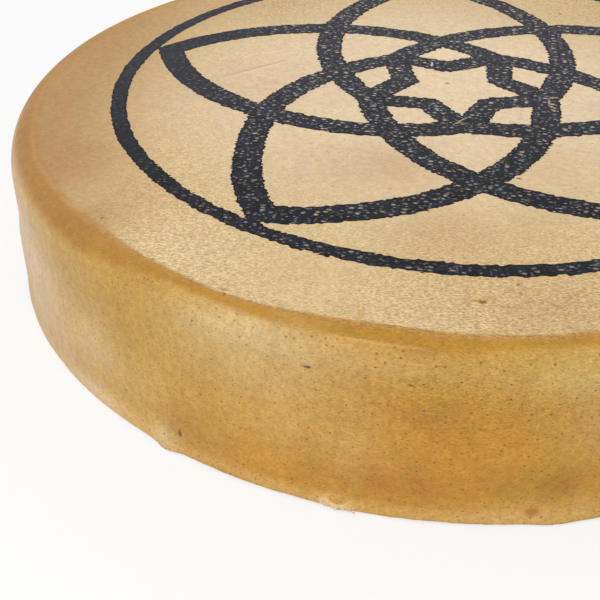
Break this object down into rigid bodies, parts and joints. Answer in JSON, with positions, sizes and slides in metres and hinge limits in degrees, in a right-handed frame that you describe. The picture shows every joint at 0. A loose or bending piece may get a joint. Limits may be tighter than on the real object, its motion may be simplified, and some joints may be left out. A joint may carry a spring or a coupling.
{
  "type": "ocean drum",
  "caption": "Shallow round frame drum with a rawhide head on each side and loose steel shot sealed inside, which rolls over the lower head with a sound of surf.",
  "frame": {"origin": "middle of the drum on the plane of the bottom head, where it rests", "axes": "+Z through both heads towards the painted one; +Y away from the side the picture is taken from"},
  "size_m": [0.4024, 0.4024, 0.0732],
  "materials": {
    "top_rawhide": "satin",
    "bottom_rawhide": "satin",
    "hoop_wood": "matte",
    "ring_wood": "matte",
    "nail_steel": "matte",
    "dark_paint": "matte",
    "shot_steel": "polished"
  },
  "bodies": {
    "drum": {"outer_ply": "hoop_wood", "inner_ply": "hoop_wood", "top_stiffening_ring": "ring_wood", "bottom_stiffening_ring": "ring_wood", "scarf_brads": "nail_steel", "bottom_skin": "bottom_rawhide", "skin_tacks": "nail_steel", "top_skin": "top_rawhide", "painted_ring": "dark_paint", "painted_petals": "dark_paint", "painted_star": "dark_paint"},
    "swirling_shot": {"shot_trailing": "shot_steel"},
    "following_shot": {"shot_following": "shot_steel"},
    "middle_shot": {"shot_middle": "shot_steel"},
    "second_shot": {"shot_second": "shot_steel"},
    "leading_shot": {"shot_leading": "shot_steel"}
  },
  "joints": [
    {"name": "swirl", "type": "hinge", "parent": "drum", "child": "swirling_shot", "pos_m": [0, 0, 0.0038], "axis": [0, 0, 1], "continuous": true},
    {"name": "roll", "type": "slide", "parent": "swirling_shot", "child": "leading_shot", "axis": [1, 0, 0], "range_m": [0, 0.13]},
    {"name": "roll_second", "type": "slide", "parent": "swirling_shot", "child": "second_shot", "axis": [1, 0, 0], "range_m": [0, 0.0975]},
    {"name": "roll_middle", "type": "slide", "parent": "swirling_shot", "child": "middle_shot", "axis": [1, 0, 0], "range_m": [0, 0.065]},
    {"name": "roll_following", "type": "slide", "parent": "swirling_shot", "child": "following_shot", "axis": [1, 0, 0], "range_m": [0, 0.0325]}
  ],
  "couplings": [
    {"joint": "roll_second", "follows": "roll", "ratio": 0.75},
    {"joint": "roll_middle", "follows": "roll", "ratio": 0.5},
    {"joint": "roll_following", "follows": "roll", "ratio": 0.25}
  ]
}
